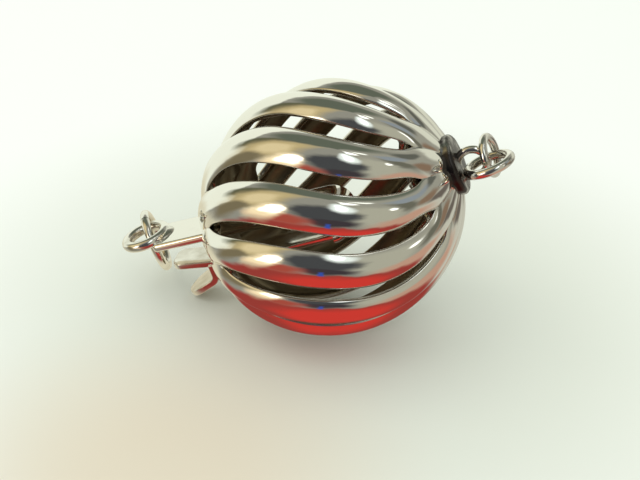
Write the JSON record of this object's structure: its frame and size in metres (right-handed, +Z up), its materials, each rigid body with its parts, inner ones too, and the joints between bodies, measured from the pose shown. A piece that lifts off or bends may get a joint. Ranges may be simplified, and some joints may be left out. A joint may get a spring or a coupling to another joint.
{
  "type": "necklace clasp",
  "caption": "Ball clasp for a necklace: hollow ball of twisted open ribs, folded spring tongue with a thumb tab, and jump rings at both ends, shown closed.",
  "frame": {"origin": "bottom centre of the whole clasp, on the surface it lies on", "axes": "+X from the tongue's end to the ball's eye, level; +Z up; +Y away from the side shown"},
  "size_m": [0.0276, 0.018, 0.0179],
  "materials": {
    "silver": "polished"
  },
  "bodies": {
    "ball": {"ball": "silver", "ball_ring": "silver", "ball_link": "silver"},
    "tongue": {"tongue_plate": "silver", "tongue_link": "silver"},
    "leaf": {"spring_leaf": "silver"}
  },
  "joints": [
    {"name": "tongue_slide", "type": "slide", "parent": "ball", "child": "tongue", "axis": [-0.9256, 0, -0.3785], "range_m": [0, 0.01153]},
    {"name": "leaf_press", "type": "hinge", "parent": "tongue", "child": "leaf", "pos_m": [0.00194, 0, 0.00845], "axis": [0, 1, 0], "range_deg": [-2, 6], "stiffness_Nm_per_rad": 0.02}
  ]
}
